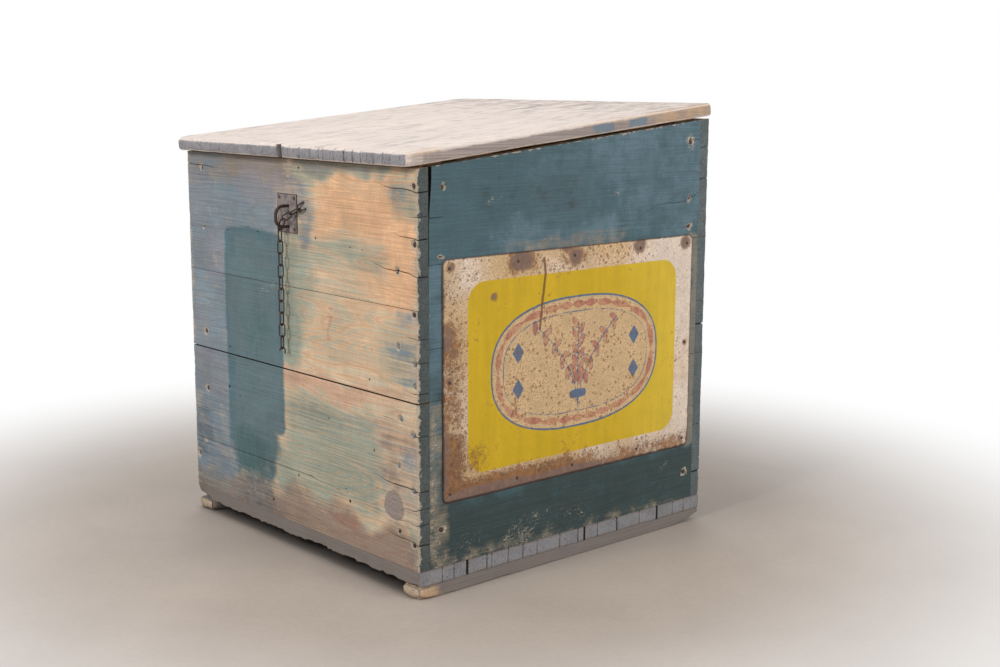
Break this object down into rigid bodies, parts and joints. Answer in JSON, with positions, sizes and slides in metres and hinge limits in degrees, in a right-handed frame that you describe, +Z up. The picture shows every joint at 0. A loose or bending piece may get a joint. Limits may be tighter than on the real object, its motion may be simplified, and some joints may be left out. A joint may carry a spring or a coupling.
{
  "type": "bread delivery box",
  "caption": "Wooden delivery box with a sloping lid hinged at the back, worn paint, a padlock staple with a hanging chain on the front and a printed tin sign on one side.",
  "frame": {"origin": "middle of the box's footprint on the surface it stands on", "axes": "+Z up, -Y the front with the staple and chain, +X the side with the sign"},
  "size_m": [0.605, 0.611, 0.6665],
  "materials": {
    "painted_boards": "worn matt paint over pine",
    "inside_wood": "bare aged pine",
    "lid_wood": "weathered bare boards",
    "floor_wood": "weathered grey boards",
    "sign_tin": "printed tin with rust",
    "hinge_steel": "dull rusty steel",
    "nail_steel": "rusty steel",
    "plate_steel": "worn paint over thin steel",
    "chain_iron": "dark rusty iron wire"
  },
  "bodies": {
    "root": {"back_board_low": "painted_boards", "back_board_middle": "painted_boards", "back_board_top": "painted_boards", "chain_anchor": "chain_iron", "chain_link_near_anchor": "chain_iron", "chain_link_near_staple": "chain_iron", "chain_link_over_staple": "chain_iron", "corner_post_back_left": "inside_wood", "corner_post_back_right": "inside_wood", "corner_post_front_left": "inside_wood", "corner_post_front_right": "inside_wood", "floor_board_1": "floor_wood", "floor_board_2": "floor_wood", "floor_board_3": "floor_wood", "floor_board_4": "floor_wood", "floor_nails": "nail_steel", "front_board_low": "painted_boards", "front_board_middle": "painted_boards", "front_board_top": "painted_boards", "hinge_leaf_wall_left": "hinge_steel", "hinge_leaf_wall_right": "hinge_steel", "hinge_pin_left": "hinge_steel", "hinge_pin_right": "hinge_steel", "hinge_screws_wall": "hinge_steel", "left_board_low": "painted_boards", "left_board_middle": "painted_boards", "left_board_top": "painted_boards", "padlock_staple": "chain_iron", "plate_nails": "nail_steel", "right_board_low": "painted_boards", "right_board_middle": "painted_boards", "right_board_top": "painted_boards", "runner_left": "floor_wood", "runner_right": "floor_wood", "sign": "sign_tin", "sign_nails": "nail_steel", "staple_plate": "plate_steel", "wall_nails": "nail_steel"},
    "lid": {"lid_board_left": "lid_wood", "lid_board_right": "lid_wood", "lid_batten_front": "inside_wood", "lid_batten_back": "inside_wood", "batten_nails": "nail_steel", "hinge_leaf_lid_left": "hinge_steel", "hinge_leaf_lid_right": "hinge_steel", "hinge_screws_lid": "hinge_steel"},
    "chain_link_01": {"chain_link_01": "chain_iron"},
    "chain_link_02": {"chain_link_02": "chain_iron"},
    "chain_link_03": {"chain_link_03": "chain_iron"},
    "chain_link_04": {"chain_link_04": "chain_iron"},
    "chain_link_05": {"chain_link_05": "chain_iron"},
    "chain_link_06": {"chain_link_06": "chain_iron"},
    "chain_link_07": {"chain_link_07": "chain_iron"},
    "chain_link_08": {"chain_link_08": "chain_iron"},
    "chain_link_09": {"chain_link_09": "chain_iron"},
    "chain_link_10": {"chain_link_10": "chain_iron"},
    "chain_broken_link": {"chain_broken_link": "chain_iron"}
  },
  "joints": [
    {"name": "lid_hinge", "type": "hinge", "parent": "root", "child": "lid", "pos_m": [0.007, 0.30114, 0.64553], "axis": [-1, 0, 0], "range_deg": [0, 163]},
    {"name": "chain_link_01_swing", "type": "hinge", "parent": "root", "child": "chain_link_01", "pos_m": [-0.00514, -0.2915, 0.48457], "axis": [0, 1, 0], "range_deg": [-20, 35]},
    {"name": "chain_link_02_swing", "type": "hinge", "parent": "chain_link_01", "child": "chain_link_02", "pos_m": [-0.00514, -0.2915, 0.46697], "axis": [-1, 0, 0], "range_deg": [0, 35]},
    {"name": "chain_link_03_swing", "type": "hinge", "parent": "chain_link_02", "child": "chain_link_03", "pos_m": [-0.00514, -0.2915, 0.44937], "axis": [0, 1, 0], "range_deg": [-35, 35]},
    {"name": "chain_link_04_swing", "type": "hinge", "parent": "chain_link_03", "child": "chain_link_04", "pos_m": [-0.00514, -0.2915, 0.43177], "axis": [-1, 0, 0], "range_deg": [0, 35]},
    {"name": "chain_link_05_swing", "type": "hinge", "parent": "chain_link_04", "child": "chain_link_05", "pos_m": [-0.00514, -0.2915, 0.41417], "axis": [0, 1, 0], "range_deg": [-35, 35]},
    {"name": "chain_link_06_swing", "type": "hinge", "parent": "chain_link_05", "child": "chain_link_06", "pos_m": [-0.00514, -0.2915, 0.39657], "axis": [-1, 0, 0], "range_deg": [0, 35]},
    {"name": "chain_link_07_swing", "type": "hinge", "parent": "chain_link_06", "child": "chain_link_07", "pos_m": [-0.00514, -0.2915, 0.37897], "axis": [0, 1, 0], "range_deg": [-35, 35]},
    {"name": "chain_link_08_swing", "type": "hinge", "parent": "chain_link_07", "child": "chain_link_08", "pos_m": [-0.00514, -0.2915, 0.36137], "axis": [-0.9397, -0.342, 0], "range_deg": [0, 35]},
    {"name": "chain_link_09_swing", "type": "hinge", "parent": "chain_link_08", "child": "chain_link_09", "pos_m": [-0.00514, -0.2915, 0.34377], "axis": [-0.342, 0.9397, 0], "range_deg": [-35, 35]},
    {"name": "chain_link_10_swing", "type": "hinge", "parent": "chain_link_09", "child": "chain_link_10", "pos_m": [-0.00514, -0.2915, 0.32617], "axis": [-0.8192, -0.5736, 0], "range_deg": [0, 35]},
    {"name": "chain_broken_link_swing", "type": "hinge", "parent": "chain_link_10", "child": "chain_broken_link", "pos_m": [-0.00514, -0.2915, 0.30857], "axis": [-0.5, 0.866, 0], "range_deg": [-35, 35]}
  ]
}
